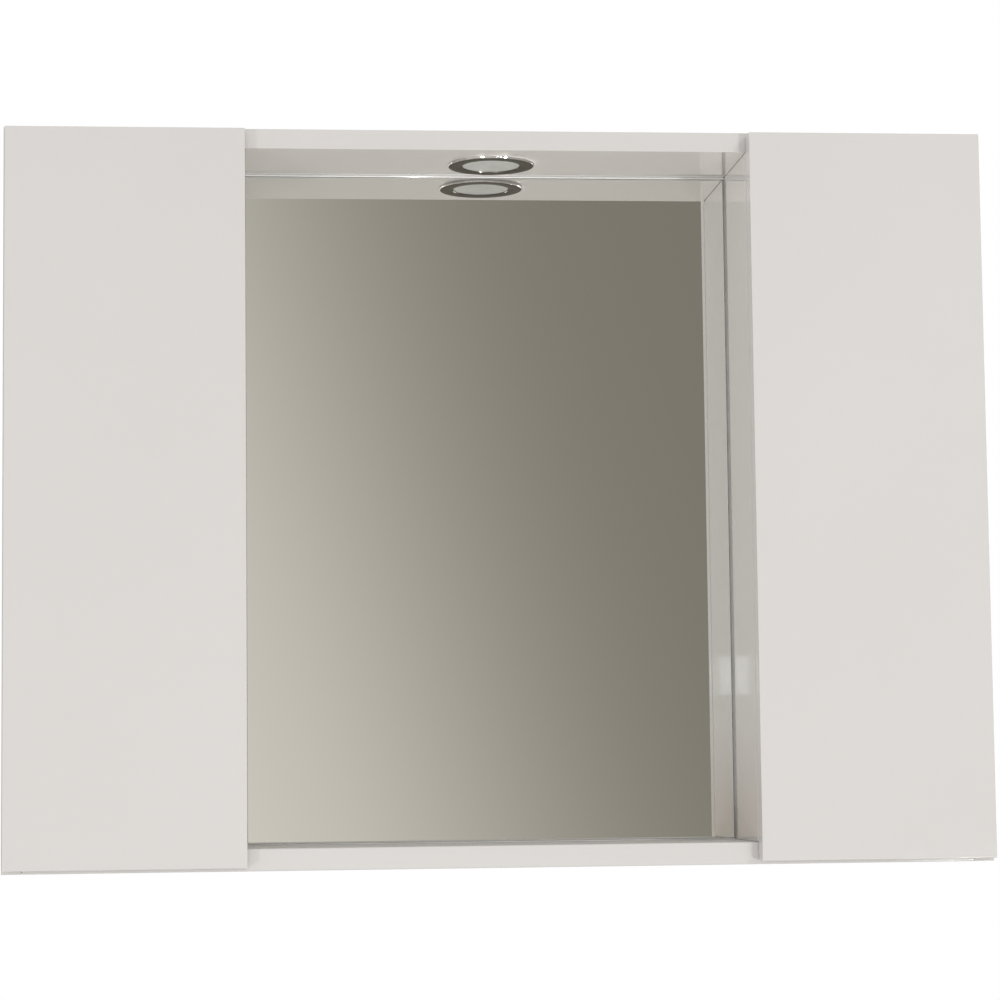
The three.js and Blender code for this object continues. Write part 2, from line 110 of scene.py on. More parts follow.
def spread(material, pattern, low, high, start=0.3, end=0.7):
    """The pattern's middle range, mapped to low..high."""
    mapped = add_node(material, "ShaderNodeMapRange")
    mapped.inputs["From Min"].default_value = start
    mapped.inputs["From Max"].default_value = end
    mapped.inputs["To Min"].default_value = low
    mapped.inputs["To Max"].default_value = high
    link(material, pattern, mapped.inputs["Value"])
    return mapped.outputs["Result"]


def tint(material, pattern, colour_a, colour_b, start=0.3, end=0.7):
    """Colours the surface from colour_a to colour_b by the pattern."""
    ramp = add_node(material, "ShaderNodeValToRGB")
    ramp.color_ramp.elements[0].position = start
    ramp.color_ramp.elements[0].color = (*colour_a, 1.0)
    ramp.color_ramp.elements[1].position = end
    ramp.color_ramp.elements[1].color = (*colour_b, 1.0)
    link(material, pattern, ramp.inputs["Fac"])
    link(material, ramp.outputs["Color"], shader_of(material).inputs["Base Color"])


def vary_roughness(material, pattern, low, high):
    link(material, spread(material, pattern, low, high), shader_of(material).inputs["Roughness"])


def relief(material, pattern, depth, strength=1.0):
    """Raises the surface by the pattern, depth in metres."""
    bump = add_node(material, "ShaderNodeBump", Distance=depth, Strength=strength)
    link(material, pattern, bump.inputs["Height"])
    link(material, bump.outputs["Normal"], shader_of(material).inputs["Normal"])


# --- materials ------------------------------------------------------------------------------

def make_gloss_white():
    """White lacquer film: a mirror-like coat with a faint orange peel."""
    coat = {"Coat_Weight": 0.35, "Coat_Roughness": 0.02}
    material = new_finish("gloss_white_lacquer", Specular_IOR_Level=0.5, **coat)
    tint(material, speckle(material, 5.0, 3.0), *LACQUER_WHITE)
    vary_roughness(material, speckle(material, 60.0, 2.0), 0.05, 0.11)
    relief(material, speckle(material, 420.0, 1.0), 0.012 * MM, 0.35)
    return material


def make_satin_white():
    """The same lacquer, rubbed duller where things are stood on it."""
    material = new_finish("satin_white_lacquer", Specular_IOR_Level=0.4)
    tint(material, speckle(material, 5.0, 3.0), *LACQUER_WHITE)
    vary_roughness(material, speckle(material, 90.0, 3.0), 0.38, 0.5)
    return material


def make_raw_fibreboard():
    """Cut edge of the board: pressed wood fibre."""
    material = new_finish("raw_fibreboard", Specular_IOR_Level=0.2)
    fibre = speckle(material, 900.0, 8.0, (1.0, 1.0, 2.6))
    tint(material, fibre, (0.30, 0.20, 0.115), (0.50, 0.37, 0.235))
    vary_roughness(material, speckle(material, 300.0), 0.75, 0.95)
    relief(material, fibre, 0.15 * MM, 0.6)
    return material


def make_joint_with_painted_shade():
    """A joint's glue line, with the shade in the joint's gap painted into its dark colour."""
    material = new_finish("joint_line_and_painted_shade", Specular_IOR_Level=0.1)
    tint(material, speckle(material, 700.0, 3.0), (0.26, 0.24, 0.21), (0.36, 0.335, 0.30))
    vary_roughness(material, speckle(material, 300.0), 0.7, 0.9)
    return material


def make_back_board():
    """Thin painted hardboard with the faint screen weave of its rear face."""
    material = new_finish("painted_hardboard", Specular_IOR_Level=0.3)
    tint(material, speckle(material, 14.0, 5.0), (0.62, 0.59, 0.54), (0.70, 0.68, 0.63))
    vary_roughness(material, speckle(material, 120.0), 0.55, 0.75)
    relief(material, speckle(material, 1400.0, 3.0), 0.05 * MM, 0.5)
    return material


def make_mirror():
    """Silvered float glass."""
    material = new_finish("silvered_glass", Metallic=1.0)
    tint(material, speckle(material, 2.0, 1.0), (0.885, 0.89, 0.875), (0.895, 0.90, 0.885))
    vary_roughness(material, speckle(material, 9.0), 0.004, 0.012)
    return material


def make_glass_edge():
    """Ground and polished edge of the mirror's glass."""
    material = new_finish("polished_glass_edge", IOR=1.5, Coat_Weight=0.6, Coat_Roughness=0.05)
    tint(material, speckle(material, 260.0, 3.0), (0.36, 0.39, 0.365), (0.46, 0.50, 0.47))
    vary_roughness(material, speckle(material, 800.0), 0.08, 0.22)
    return material


def make_chrome_painted_dark():
    """Chrome of the spotlight ring's face and lip. Its base colour is painted dark as a painted reflection
    of dark surroundings, on chrome that is really bright.
    """
    material = new_finish("dark_chrome", Metallic=1.0, Specular_Tint=(0.50, 0.495, 0.475, 1.0))
    tint(material, speckle(material, 900.0, 3.0), (0.135, 0.13, 0.12), (0.185, 0.18, 0.168))
    vary_roughness(material, speckle(material, 700.0, 2.0), 0.10, 0.18)
    relief(material, speckle(material, 1600.0, 1.0), 0.004 * MM, 0.3)
    return material


def make_polished_chrome():
    """Bright chrome of the ring's rolled rim."""
    material = new_finish("polished_chrome", Metallic=1.0)
    tint(material, speckle(material, 200.0, 3.0), (0.60, 0.59, 0.575), (0.68, 0.67, 0.655))
    vary_roughness(material, speckle(material, 900.0, 2.0), 0.03, 0.09)
    return material


def make_frosted_glass():
    """Acid-etched glass, unlit, with a fine silky grain."""
    material = new_finish("frosted_glass", Specular_IOR_Level=0.5, Subsurface_Weight=0.25)
    shader_of(material).inputs["Subsurface Radius"].default_value = (0.004, 0.004, 0.004)
    tint(material, speckle(material, 90.0, 3.0), (0.60, 0.61, 0.585), (0.68, 0.69, 0.665))
    vary_roughness(material, speckle(material, 900.0), 0.34, 0.46)
    relief(material, speckle(material, 2600.0, 2.0), 0.02 * MM, 0.5)
    return material


def make_nickel():
    """Nickel-plated pressed steel."""
    material = new_finish("nickel_plate", Metallic=1.0)
    tint(material, speckle(material, 160.0, 4.0), (0.56, 0.545, 0.52), (0.66, 0.645, 0.62))
    vary_roughness(material, speckle(material, 520.0, 3.0, (1.0, 1.0, 6.0)), 0.20, 0.34)
    relief(material, speckle(material, 900.0, 2.0), 0.01 * MM, 0.22)
    return material


def make_aluminium():
    """Satin aluminium of the lamp's housing."""
    material = new_finish("satin_aluminium", Metallic=1.0)
    tint(material, speckle(material, 300.0, 3.0), (0.50, 0.51, 0.52), (0.60, 0.61, 0.62))
    vary_roughness(material, speckle(material, 1200.0, 2.0, (6.0, 1.0, 1.0)), 0.32, 0.48)
    return material


def make_plastic(name, dark, light):
    """Moulded plastic with a fine spark-eroded grain."""
    material = new_finish(name, Specular_IOR_Level=0.45)
    tint(material, speckle(material, 40.0, 3.0), dark, light)
    vary_roughness(material, speckle(material, 500.0), 0.34, 0.50)
    relief(material, speckle(material, 2200.0, 1.0), 0.02 * MM, 0.45)
    return material


def make_wet_seal():
    """The seals' plastic under a wet-looking skin, which catches a glint."""
    material = make_plastic("mirror_seal_glossy", *SEAL_WHITE)
    shader_of(material).inputs["Coat Weight"].default_value = 1.0
    shader_of(material).inputs["Coat Roughness"].default_value = 0.04
    return material


def make_rubber(name, dark, light, clear=0.0):
    """Soft rubber; clear above 0 lets light through, and such rubber is smoother."""
    material = new_finish(name, Specular_IOR_Level=0.35, Transmission_Weight=clear, IOR=1.45)
    tint(material, speckle(material, 150.0, 3.0), dark, light)
    smoothest, roughest = (0.30, 0.45) if clear else (0.6, 0.8)
    vary_roughness(material, speckle(material, 700.0), smoothest, roughest)
    relief(material, speckle(material, 1500.0, 2.0), 0.02 * MM, 0.4)
    return material


def make_foam_tape():
    """Closed-cell foam tape."""
    material = new_finish("foam_tape", Specular_IOR_Level=0.2)
    cells = speckle(material, 1800.0, 3.0)
    tint(material, cells, (0.72, 0.72, 0.70), (0.84, 0.84, 0.82))
    vary_roughness(material, cells, 0.8, 0.95)
    relief(material, cells, 0.08 * MM, 0.7)
    return material


GLOSS = make_gloss_white()
SATIN = make_satin_white()
RAW = make_raw_fibreboard()
JOINT_WITH_PAINTED_SHADE = make_joint_with_painted_shade()
BACK = make_back_board()
MIRROR = make_mirror()
GLASS_EDGE = make_glass_edge()
CHROME_PAINTED_DARK = make_chrome_painted_dark()
POLISHED = make_polished_chrome()
FROSTED = make_frosted_glass()
NICKEL = make_nickel()
ALUMINIUM = make_aluminium()
WHITE_PLASTIC = make_plastic("white_plastic", (0.70, 0.69, 0.67), (0.77, 0.76, 0.74))
SEAL = make_plastic("mirror_seal", *SEAL_WHITE)
WET_SEAL = make_wet_seal()
GREY_PLASTIC = make_plastic("grey_plastic", (0.22, 0.225, 0.23), (0.28, 0.285, 0.29))
LAMP_BOARD = make_plastic("lamp_board", (0.78, 0.78, 0.77), (0.85, 0.85, 0.84))
PHOSPHOR = make_plastic("lamp_phosphor", (0.66, 0.52, 0.10), (0.74, 0.60, 0.16))
CLEAR_RUBBER = make_rubber("clear_rubber", (0.70, 0.71, 0.69), (0.80, 0.81, 0.79), clear=0.6)
BLACK_RUBBER = make_rubber("black_rubber", (0.015, 0.015, 0.016), (0.03, 0.03, 0.032))
CABLE = make_rubber("white_cable", (0.68, 0.68, 0.66), (0.76, 0.76, 0.74))
TAPE = make_foam_tape()


# --- CAD nodes ------------------------------------------------------------------------------

def give(node, *materials):
    """Replaces a CAD node's materials."""
    slots = nodes[node].data.materials
    slots.clear()
    for material in materials:
        slots.append(material)


def soften(node, width, segments=2):
    """Rounds the edges of a CAD node and shades its faces smoothly."""
    flat_within, edge_above = math.radians(1.0), math.radians(32.0)
    piece = nodes[node]
    normals = piece.data.attributes.get("custom_normal")
    if normals:
        piece.data.attributes.remove(normals)
    for polygon in piece.data.polygons:
        polygon.use_smooth = True
    weld = piece.modifiers.new("weld", "WELD")
    weld.merge_threshold = TOUCH
    flat = piece.modifiers.new("flat", "DECIMATE")
    flat.decimate_type = "DISSOLVE"
    flat.angle_limit = flat_within
    flat.delimit = {"MATERIAL"}
    bevel = piece.modifiers.new("bevel", "BEVEL")
    bevel.width = width
    bevel.segments = segments
    bevel.limit_method = "ANGLE"
    bevel.angle_limit = edge_above
    bevel.use_clamp_overlap = True
    weighted = piece.modifiers.new("weighted", "WEIGHTED_NORMAL")
    weighted.keep_sharp = True


def dress_board(node, width, raw_rear=True):
    """Gloss skin on the board's outer faces, raw fibre where it was cut or drilled."""
    piece = nodes[node]
    low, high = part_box(node)
    give(node, GLOSS, RAW)
    for polygon in piece.data.polygons:
        on_skin = any(
            abs(polygon.center[axis] - corner[axis]) < TOUCH
            for corner in (low, high)
            for axis in range(3)
        )
        rear = raw_rear and polygon.normal.y > FACING
        polygon.material_index = 0 if on_skin and not rear else 1
    soften(node, width)


def dress_mirror():
    """Silver seen through the front face; the ground edges show the glass itself."""
    give("mirror", MIRROR, GLASS_EDGE)
    for polygon in nodes["mirror"].data.polygons:
        polygon.material_index = 0 if polygon.normal.y < -FACING else 1
    soften("mirror", 0.6 * MM, 1)


def dress_case():
    """Boards, back and mirror; the bottom panel's top face is satin."""
    for name, _ in SIDES:
        dress_board(f"side_panel_{name}", BOARD_EASE)
        dress_board(f"divider_{name}", BOARD_EASE)
        dress_board(f"door_{name}", 0.9 * MM, raw_rear=False)
        for level in LEVELS:
            dress_board(f"shelf_{name}_{level}", BOARD_EASE)
    dress_board("top_panel", BOARD_EASE)
    dress_board("bottom_panel", 1.2 * MM)
    bottom = nodes["bottom_panel"].data
    bottom.materials.append(SATIN)
    for polygon in bottom.polygons:
        if polygon.normal.z > FACING:
            polygon.material_index = 2
    give("back_panel", BACK)
    soften("back_panel", 0.2 * MM, 1)
    give("mirror_backing_board", BACK)
    soften("mirror_backing_board", 0.3 * MM)
    dress_mirror()


def dress_fittings():
    """Every other CAD part's material and how far its edges are rounded, in millimetres."""
    plain = {
        "spot_housing": (ALUMINIUM, 0.4), "spot_led_board": (LAMP_BOARD, 0.1),
        "spot_clip_front": (NICKEL, 0.05), "spot_clip_rear": (NICKEL, 0.05),
        "lamp_lead": (CABLE, 0.05), "lamp_driver": (WHITE_PLASTIC, 1.6),
        "supply_grommet": (BLACK_RUBBER, 0.5),
    }
    for name, _ in SIDES:
        plain[f"hanger_{name}"] = (NICKEL, 0.3)
        plain[f"mirror_tape_{name}"] = (TAPE, 0.2)
        plain[f"latch_housing_{name}"] = (GREY_PLASTIC, 0.5)
        plain[f"latch_plunger_{name}"] = (WHITE_PLASTIC, 0.6)
        plain[f"strike_plate_{name}"] = (NICKEL, 0.25)
        for level in LEVELS:
            plain[f"hinge_plate_{name}_{level}"] = (NICKEL, 0.4)
            plain[f"hinge_arm_{name}_{level}"] = (NICKEL, 0.3)
            plain[f"hinge_cup_{name}_{level}"] = (NICKEL, 0.25)
            plain[f"hinge_outer_link_{name}_{level}"] = (NICKEL, 0.2)
            plain[f"hinge_inner_link_{name}_{level}"] = (NICKEL, 0.3)
    for node, (material, width) in plain.items():
        give(node, material)
        soften(node, width * MM)


# --- turned and small pieces ----------------------------------------------------------------

def steps(start, end, count):
    """Evenly spaced values with both ends among them."""
    return [start + (end - start) * k / (count - 1) for k in range(count)]


def add_piece(name, mesh, material, body):
    """A smooth-shaded piece of its own, riding on a body."""
    piece = bpy.data.objects.new(name, mesh)
    bpy.context.scene.collection.objects.link(piece)
    mesh.materials.append(material)
    for polygon in mesh.polygons:
        polygon.use_smooth = True
    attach(piece, body)
    return piece


def aim(direction):
    """The turn that takes a piece's +Z to a direction."""
    return Vector((0, 0, 1)).rotation_difference(Vector(direction)).to_matrix().to_4x4()


def finished_mesh(name, made):
    """The mesh of a closed solid under construction, its faces turned outwards."""
    bmesh.ops.recalc_face_normals(made, faces=made.faces)
    mesh = bpy.data.meshes.new(name)
    made.to_mesh(mesh)
    made.free()
    return mesh


def skin_rings(made, pairs, segments):
    """Faces between pairs of rings of vertices; a ring of one vertex is a tip."""
    for inner, outer in pairs:
        for k in range(segments):
            corners = []
            for vert in (inner[k % len(inner)], outer[k % len(outer)],
                         outer[(k + 1) % len(outer)], inner[(k + 1) % len(inner)]):
                if vert not in corners:
                    corners.append(vert)
            made.faces.new(corners)


def turned_mesh(name, profile, segments):
    """A solid of revolution about Z from (radius, height) points; a closed ring if it misses the axis."""
    made = bmesh.new()
    rings = []
    for radius, rise in profile:
        if radius < TOUCH:
            rings.append([made.verts.new((0, 0, rise))])
            continue
        angles = [2 * math.pi * k / segments for k in range(segments)]
        rings.append([made.verts.new((radius * math.cos(a), radius * math.sin(a), rise)) for a in angles])
    pairs = list(zip(rings, rings[1:]))
    if len(rings[0]) > 1 and len(rings[-1]) > 1:
        pairs.append((rings[-1], rings[0]))
    skin_rings(made, pairs, segments)
    return finished_mesh(name, made)


def turned_piece(name, profile, at, direction, material, body, segments):
    """A turned solid with its foot at a point and its axis along a direction."""
    mesh = turned_mesh(name, profile, segments)
    mesh.transform(Matrix.Translation(at) @ aim(direction))
    return add_piece(name, mesh, material, body)


def arc(centre, radius, start, end, count):
    """Points of a circular arc in a turned profile, angles in degrees."""
    angles = [math.radians(degrees) for degrees in steps(start, end, count)]
    return [(centre[0] + radius * math.cos(a), centre[1] + radius * math.sin(a)) for a in angles]


def screw_mesh(name, radius, height):
    """A pan head with a cross recess, its seat at z = 0."""
    rings, segments = 7, 40
    arm_half, arm_reach, recess = radius * 0.15, radius * 0.62, height * 0.65
    rim_fall, cross_rise = 0.86, 0.4
    made = bmesh.new()
    rows = [[made.verts.new((0, 0, height - recess))]]
    for ring in range(1, rings + 1):
        reach = radius * ring / rings
        dome = height * math.sqrt(1 - (rim_fall * reach / radius) ** 2)
        sunk = dome - recess * (1 - cross_rise * reach / radius)
        row = []
        for k in range(segments):
            angle = 2 * math.pi * k / segments
            x, y = reach * math.cos(angle), reach * math.sin(angle)
            in_cross = min(abs(x), abs(y)) < arm_half and reach < arm_reach
            row.append(made.verts.new((x, y, sunk if in_cross else dome)))
        rows.append(row)
    seat = [made.verts.new((v.co.x, v.co.y, 0)) for v in rows[-1]]
    rows.append(seat)
    skin_rings(made, zip(rows, rows[1:]), segments)
    made.faces.new(reversed(seat))
    return finished_mesh(name, made)


def add_screw(name, at, direction, body, radius=3.2 * MM, height=1.6 * MM):
    """A screw head seated at a point, its cross turned a little."""
    mesh = screw_mesh(name, radius, height)
    cross_turn = 0.3
    mesh.transform(Matrix.Translation(at) @ aim(direction) @ Matrix.Rotation(cross_turn, 4, "Z"))
    return add_piece(name, mesh, NICKEL, body)


# --- spotlight ------------------------------------------------------------------------------

def build_spot_ring():
    """The ring: chrome underneath, its base painted dark as a painted reflection, with a polished rolled
    rim and a small lip round the glass.
    """
    low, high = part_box("spot_trim_ring")
    outer = (high.x - low.x) / 2
    proud = CEILING - low.z
    collar, bore, roll, lip, ease = 28.6 * MM, 26.3 * MM, 1.1 * MM, 0.5 * MM, 0.15 * MM
    mouth, lip_top = LENS_FACE + 0.3 * MM, -0.7 * MM
    profile = [(collar, high.z - CEILING), (collar, 0.0), (outer - ease, 0.0), (outer, -ease)]
    profile += arc((outer - roll, roll - proud), roll, 0, -90, 9)
    profile += arc((mouth + lip, lip - proud), lip, -90, -180, 6)
    profile += [(mouth, lip_top), (bore, lip_top), (bore, high.z - CEILING)]
    at = Vector((LAMP_X, LAMP_Y, CEILING))
    ring = turned_piece("spot_ring", profile, at, (0, 0, 1), CHROME_PAINTED_DARK, "carcase", 128)
    ring.data.materials.append(POLISHED)
    # the face, collar and lip take the chrome painted dark (a painted reflection); the rolled rim keeps
    # the bright chrome
    for polygon in ring.data.polygons:
        reach = math.hypot(polygon.center.x - LAMP_X, polygon.center.y - LAMP_Y)
        polygon.material_index = 0 if reach < outer - roll * 1.02 else 1
    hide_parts("spot_trim_ring")


def build_spot_glass():
    """The stepped disc: its frosted face is slightly domed and has an eased edge."""
    low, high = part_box("spot_glass")
    radius = (high.x - low.x) / 2
    flange = CEILING - 0.4 * MM - low.z
    ease, dome = 0.5 * MM, 0.3 * MM
    face = LENS_FACE - ease
    profile = [(reach, dome * (reach / face) ** 2) for reach in steps(0.0, face, 11)]
    profile += arc((face, dome + ease), ease, -80, 0, 5)
    profile += [(LENS_FACE, flange), (radius, flange), (radius, high.z - low.z), (0.0, high.z - low.z)]
    at = Vector((LAMP_X, LAMP_Y, low.z))
    glass = turned_piece("spot_lens", profile, at, (0, 0, 1), FROSTED, "carcase", 128)
    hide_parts("spot_glass")


def build_led_packages():
    """Light-emitting packages in two circles under the lamp board."""
    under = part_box("spot_led_board")[0].z
    foot, brow, face, tall, shoulder = 1.4 * MM, 1.25 * MM, 0.9 * MM, 0.7 * MM, 0.6 * MM
    profile = [(0.0, tall), (face, tall), (brow, shoulder), (foot, 0.0), (0.0, 0.0)]
    for ring, (reach, count) in enumerate(((8 * MM, 6), (17 * MM, 12))):
        for k in range(count):
            angle = 2 * math.pi * k / count
            at = Vector((LAMP_X + reach * math.cos(angle), LAMP_Y + reach * math.sin(angle), under))
            turned_piece(f"led_{ring}_{k}", profile, at, (0, 0, -1), PHOSPHOR, "carcase", 16)


# --- mirror edge strips and joint lines with painted shade ----------------------------------

def box_mesh(name, low, high, round_by, segments):
    """A box between two corners with rounded edges."""
    made = bmesh.new()
    bmesh.ops.create_cube(made, size=1.0)
    for vert in made.verts:
        vert.co = Vector((low[k] if vert.co[k] < 0 else high[k] for k in range(3)))
    bmesh.ops.bevel(made, geom=made.edges[:], offset=round_by, segments=segments,
                    affect="EDGES", profile=0.5)
    return finished_mesh(name, made)


def build_mirror_strips():
    """Slim seals in the gap round the glass: flush above and below it, set back at its sides."""
    glass_low, glass_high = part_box("mirror")
    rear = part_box("mirror_backing_board")[0].y
    flush, sunk = glass_low.y + 0.2 * MM, glass_low.y + 1.6 * MM
    top_height, off_board, off_glass = 1.55 * MM, 0.05 * MM, 0.1 * MM
    reach = RECESS_X - off_board
    strips = {
        "top": ((-reach, flush, CEILING - top_height), (reach, rear, CEILING - off_board)),
        "bottom": ((-reach, flush, FLOOR + off_board), (reach, rear, glass_low.z - off_glass)),
        "left": ((-reach, sunk, glass_low.z), (glass_low.x - off_glass, rear, glass_high.z)),
        "right": ((glass_high.x + off_glass, sunk, glass_low.z), (reach, rear, glass_high.z)),
    }
    for place, (low, high) in strips.items():
        glossy = place == "top"
        material, round_by, segments = (WET_SEAL, 0.6 * MM, 5) if glossy else (SEAL, 0.25 * MM, 2)
        mesh = box_mesh(f"mirror_seal_{place}", low, high, round_by, segments)
        add_piece(f"mirror_seal_{place}", mesh, material, "carcase")


def build_joint_lines_with_painted_shade():
    """Dark strips in the corners between the recess walls and the panels above and below them: the joint
    lines, with the shade in their gaps painted on.
    """
    leg = 0.32 * MM
    front, rear = CASE_FRONT + 0.4 * MM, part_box("mirror_backing_board")[0].y
    for name, sign in SIDES:
        for end, up, z in (("bottom", -1, FLOOR), ("top", 1, CEILING)):
            x = sign * RECESS_X
            section = [(x + sign * leg, z + up * leg), (x - sign * leg, z), (x, z - up * leg)]
            corners = [(a, y, b) for y in (front, rear) for a, b in section]
            made = bmesh.new()
            verts = [made.verts.new(corner) for corner in corners]
            for face in ((0, 1, 2), (5, 4, 3), (0, 3, 4, 1), (1, 4, 5, 2), (2, 5, 3, 0)):
                made.faces.new([verts[k] for k in face])
            # each strip is a thin dark prism in the corner: a joint line plus painted shade for the shadow
            # in the joint
            mesh = finished_mesh(f"joint_{name}_{end}", made)
            add_piece(f"joint_{name}_{end}", mesh, JOINT_WITH_PAINTED_SHADE, "carcase")


# --- hardware left to the looks -------------------------------------------------------------

def build_shelf_pins():
    """Four pins under each shelf, a shouldered steel peg each."""
    pin, reach, ease, from_edge, gap = 2.4 * MM, 7.6 * MM, 0.6 * MM, 20 * MM, 1.15 * MM
    shoulder, shoulder_end, neck = pin + 1.1 * MM, 1.0 * MM, 1.3 * MM
    profile = [(0.0, 0.0), (shoulder, 0.0), (shoulder, shoulder_end), (pin, neck), (pin, reach - ease)]
    profile += arc((pin - ease, reach - ease), ease, 0, 90, 4) + [(0.0, reach)]
    for name, sign in SIDES:
        for level in LEVELS:
            low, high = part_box(f"shelf_{name}_{level}")
            for side, wall, inward in (("inner", DIVIDER_INNER, 1), ("outer", SIDE_INNER, -1)):
                for place, y in (("front", low.y + from_edge), ("rear", high.y - from_edge)):
                    at = Vector((sign * wall, y, low.z - pin - gap))
                    turned_piece(f"shelf_pin_{name}_{level}_{side}_{place}", profile, at,
                                 (sign * inward, 0, 0), NICKEL, "carcase", 24)


def build_cam_caps():
    """Press-in caps over the cam fasteners, on the compartments' ceilings and floors."""
    cap, ease, edge = 7.5 * MM, 0.6 * MM, 0.2 * MM
    dimple, dimple_foot, dimple_floor = 2.2 * MM, 1.6 * MM, 0.45 * MM
    from_wall, from_edge = 24 * MM, 22 * MM
    profile = [(0.0, 0.0), (cap, 0.0)] + arc((cap - ease, edge), ease, 0, 90, 5)
    profile += [(dimple, edge + ease), (dimple_foot, dimple_floor), (0.0, dimple_floor)]
    for name, sign in SIDES:
        for end, z, up in (("bottom", FLOOR, 1), ("top", CEILING, -1)):
            for wall, x in (("side", SIDE_INNER - from_wall), ("divider", DIVIDER_INNER + from_wall)):
                for place, y in (("front", CASE_FRONT + from_edge), ("rear", CASE_BACK - from_edge)):
                    at = Vector((sign * x, y, z))
                    turned_piece(f"cam_cap_{name}_{end}_{wall}_{place}", profile, at, (0, 0, up),
                                 WHITE_PLASTIC, "carcase", 32)


def build_hinge_screws():
    """Screws through each hinge plate's wings, the arm's web and the cup's flange."""
    plate_face, wing_back, wing_rise = SIDE_INNER - 2 * MM, 37 * MM, 16 * MM
    cup_in, cup_rise, web_in = 33 * MM, 22.5 * MM, 31 * MM
    arm_places = (("front", 24 * MM), ("rear", 8 * MM))
    for name, sign in SIDES:
        for level in LEVELS:
            place = f"{name}_{level}"
            plate_low, plate_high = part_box(f"hinge_plate_{place}")
            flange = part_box(f"hinge_cup_{place}")[1].y
            arm_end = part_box(f"hinge_arm_{place}")[1].y
            middle = (plate_low.z + plate_high.z) / 2
            into_room = (-sign, 0, 0)
            for end, up in (("low", -1), ("high", 1)):
                at = Vector((sign * plate_face, CASE_FRONT + wing_back, middle + up * wing_rise))
                add_screw(f"plate_screw_{place}_{end}", at, into_room, "carcase")
                at = Vector((sign * (CASE_HIGH.x - cup_in), flange, middle + up * cup_rise))
                add_screw(f"cup_screw_{place}_{end}", at, (0, 1, 0), f"{name}_door", 2.6 * MM, 0.85 * MM)
            for end, from_end in arm_places:
                at = Vector((sign * (CASE_HIGH.x - web_in), arm_end - from_end, middle))
                add_screw(f"arm_screw_{place}_{end}", at, into_room, "carcase", 3.4 * MM, 1.4 * MM)


def build_fitting_screws():
    """Three screws in each hanger and two in each latch's feet."""
    from_outer, from_inner, above_foot, below_top = 4 * MM, 10 * MM, 14 * MM, 6 * MM
    foot_face, foot_back, foot_rise = DIVIDER_INNER + 2 * MM, 29 * MM, 13.6 * MM
    for name, sign in SIDES:
        low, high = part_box(f"hanger_{name}")
        outer = sign * (max(abs(low.x), abs(high.x)) - from_outer)
        inner = sign * (min(abs(low.x), abs(high.x)) + from_inner)
        places = ((outer, low.z + above_foot), (outer, high.z - below_top), (inner, high.z - below_top))
        for k, (x, z) in enumerate(places):
            at = Vector((x, high.y, z))
            add_screw(f"hanger_screw_{name}_{k}", at, (0, 1, 0), "carcase", 2.9 * MM, 0.8 * MM)
        for end, up in (("low", -1), ("high", 1)):
            at = Vector((sign * foot_face, CASE_FRONT + foot_back, up * foot_rise))
            add_screw(f"latch_screw_{name}_{end}", at, (sign, 0, 0), "carcase", 2.8 * MM, 1.2 * MM)


def build_bumpers():
    """Clear domes in place of the plain discs."""
    fullness = 0.8
    for name, _ in SIDES:
        for level in LEVELS:
            low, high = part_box(f"bumper_{name}_{level}")
            radius = (high.x - low.x) / 2
            tall = high.y - low.y
            curve = [(radius * math.cos(a), tall * math.sin(a) ** fullness)
                     for a in steps(0.0, math.pi / 2, 10)]
            profile = [(0.0, 0.0)] + curve[:-1] + [(0.0, tall)]
            at = Vector(((low.x + high.x) / 2, low.y, (low.z + high.z) / 2))
            dome = turned_piece(f"bumper_dome_{name}_{level}", profile, at, (0, 1, 0),
                                CLEAR_RUBBER, f"{name}_door", 40)
            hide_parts(f"bumper_{name}_{level}")


def build_back_nails():
    """Small nail heads round the back, one object for each row."""
    low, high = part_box("back_panel")
    sunk = 0.25 * MM
    head = [(0.0, sunk), (1.2 * MM, 0.22 * MM), (1.7 * MM, 0.0), (0.0, 0.0)]
    inset, from_corner, top_reach = 6 * MM, 60 * MM, 300 * MM
    above_foot, below_hanger = 40 * MM, 80 * MM
    divider = (DIVIDER_INNER + RECESS_X) / 2
    columns = (low.x + inset, -divider, divider, high.x - inset)
    rows = {f"column_{k}": [(x, z) for z in steps(low.z + above_foot, high.z - below_hanger, 6)]
            for k, x in enumerate(columns)}
    rows["bottom"] = [(x, low.z + inset) for x in steps(low.x + from_corner, high.x - from_corner, 9)]
    rows["top"] = [(x, high.z - inset) for x in steps(-top_reach, top_reach, 7)]
    for name, places in rows.items():
        made = bmesh.new()
        for x, z in places:
            nail = turned_mesh("nail", head, 16)
            nail.transform(Matrix.Translation((x, high.y - sunk, z)) @ aim((0, 1, 0)))
            made.from_mesh(nail)
            bpy.data.meshes.remove(nail)
        add_piece(f"nails_{name}", finished_mesh(f"nails_{name}", made), NICKEL, "carcase")


# --- stage, lights and camera ---------------------------------------------------------------

def build_floor():
    """A pale floor at its real distance below a cabinet hung at eye height."""
    mesh = bpy.data.meshes.new("floor")
    reach, level = 3.2, -1.45
    corners = [(x * reach, y * reach, level) for x, y in ((-1, -1), (1, -1), (1, 1), (-1, 1))]
    mesh.from_pydata(corners, [], [(0, 1, 2, 3)])
    floor = bpy.data.objects.new("floor", mesh)
    bpy.context.scene.collection.objects.link(floor)
    pale = new_finish("pale_floor", Specular_IOR_Level=0.2)
    tint(pale, speckle(pale, 1.5, 2.0), (0.78, 0.78, 0.77), (0.82, 0.82, 0.81))
    vary_roughness(pale, speckle(pale, 8.0), 0.6, 0.8)
    mesh.materials.append(pale)


